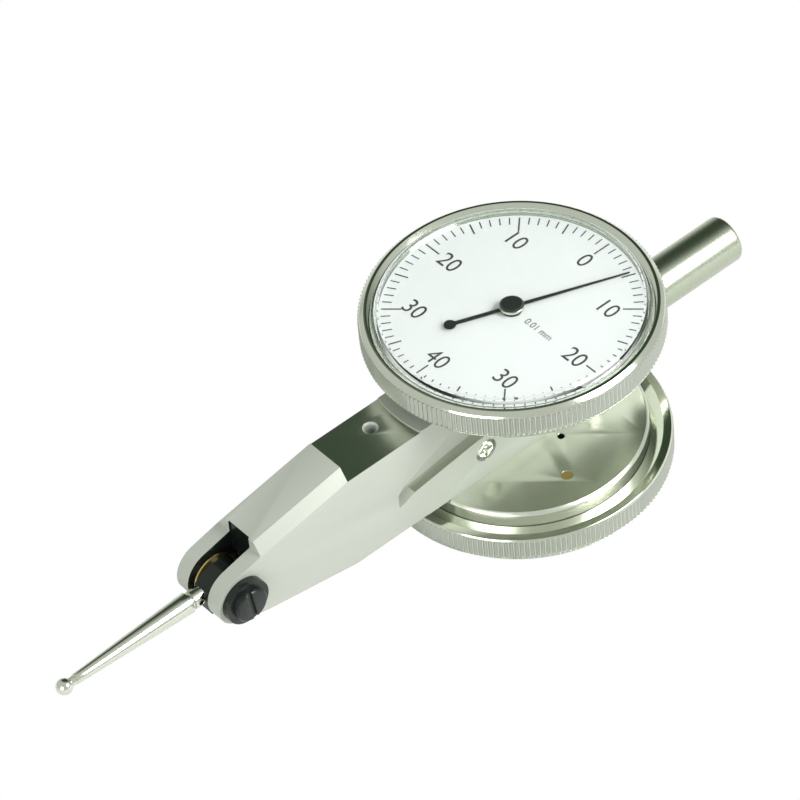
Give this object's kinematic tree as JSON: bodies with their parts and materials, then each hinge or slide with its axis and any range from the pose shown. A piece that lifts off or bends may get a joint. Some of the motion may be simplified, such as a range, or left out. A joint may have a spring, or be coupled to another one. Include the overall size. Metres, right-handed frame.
{
  "type": "dial test indicator",
  "caption": "Lever-type dial test indicator with a dial on each side, knurled rotating bezels, a swivelling stylus with contact ball, and a round clamping stem.",
  "frame": {"origin": "middle of the clamping stem's cylindrical wall, on its axis", "axes": "+X out along the stem, away from the stylus; +Z out of the upper dial; the stylus pivots turn about Y"},
  "size_m": [0.1027, 0.036, 0.026],
  "materials": {
    "satin_chrome": "satin hard chrome plate",
    "polished_chrome": "polished chrome plate",
    "ground_steel": "fine ground",
    "steel_screws": "bright turned",
    "black_steel": "blackened steel, semi-gloss",
    "brass": "turned",
    "spring_bronze": "drawn strip",
    "jewel": "polished synthetic ruby",
    "dial_face": "matt white enamel with printed scale",
    "crystal": "clear window",
    "black_paint": "matt black"
  },
  "bodies": {
    "body": {"body_frame": "satin_chrome", "stem": "ground_steel", "side_cover": "satin_chrome", "cover_screws": "steel_screws", "side_screws": "steel_screws", "pivot_screws": "black_steel", "neck_screw": "black_steel", "train_bridge": "brass", "bridge_screws": "steel_screws", "crown_jewels": "jewel", "hairspring": "spring_bronze", "hairspring_stud": "brass", "upper_case": "polished_chrome", "upper_case_pin": "brass", "upper_case_screws": "steel_screws", "upper_centre_bush": "brass", "upper_bezel_spring": "steel_screws", "lower_case": "polished_chrome", "lower_case_pin": "brass", "lower_case_screws": "steel_screws", "lower_centre_bush": "brass", "lower_bezel_spring": "steel_screws"},
    "upper_bezel_unit": {"upper_bezel": "satin_chrome", "upper_dial": "dial_face", "upper_crystal": "crystal"},
    "lower_bezel_unit": {"lower_bezel": "satin_chrome", "lower_dial": "dial_face", "lower_crystal": "crystal"},
    "pointer_arbor": {"centre_arbor": "ground_steel", "centre_pinion": "ground_steel", "hairspring_collet": "brass", "upper_pointer": "black_paint", "upper_pointer_boss": "polished_chrome", "upper_pointer_cap": "black_paint", "lower_pointer": "black_paint", "lower_pointer_boss": "polished_chrome", "lower_pointer_cap": "black_paint"},
    "crown": {"crown_wheel": "brass", "crown_arbor": "ground_steel"},
    "lever": {"sector_lever": "ground_steel", "friction_washer": "brass"},
    "stylus_unit": {"stylus_holder": "black_steel", "stylus": "polished_chrome", "stylus_ball": "polished_chrome"}
  },
  "joints": [
    {"name": "upper_bezel_turn", "type": "hinge", "parent": "body", "child": "upper_bezel_unit", "pos_m": [-0.0248, 0, 0.0106], "axis": [0, 0, 1], "continuous": true},
    {"name": "lower_bezel_turn", "type": "hinge", "parent": "body", "child": "lower_bezel_unit", "pos_m": [-0.0248, 0, -0.0106], "axis": [0, 0, 1], "continuous": true},
    {"name": "pointer_turn", "type": "hinge", "parent": "body", "child": "pointer_arbor", "pos_m": [-0.0248, 0, 0], "axis": [0, 0, 1], "range_deg": [-157.8, 202.2], "stiffness_Nm_per_rad": 0.00001},
    {"name": "crown_turn", "type": "hinge", "parent": "body", "child": "crown", "pos_m": [-0.0248, 0.0012, 0], "axis": [0, 1, 0], "range_deg": [-34.5, 27]},
    {"name": "lever_tilt", "type": "hinge", "parent": "body", "child": "lever", "pos_m": [-0.07, 0, 0], "axis": [0, 1, 0], "range_deg": [-0.9, 1.15]},
    {"name": "stylus_swivel", "type": "hinge", "parent": "lever", "child": "stylus_unit", "pos_m": [-0.07, 0, 0], "axis": [0, 1, 0], "range_deg": [-100, 100]}
  ],
  "couplings": [
    {"joint": "crown_turn", "follows": "pointer_turn", "ratio": -0.16667},
    {"joint": "lever_tilt", "follows": "pointer_turn", "ratio": 0.0055556}
  ]
}
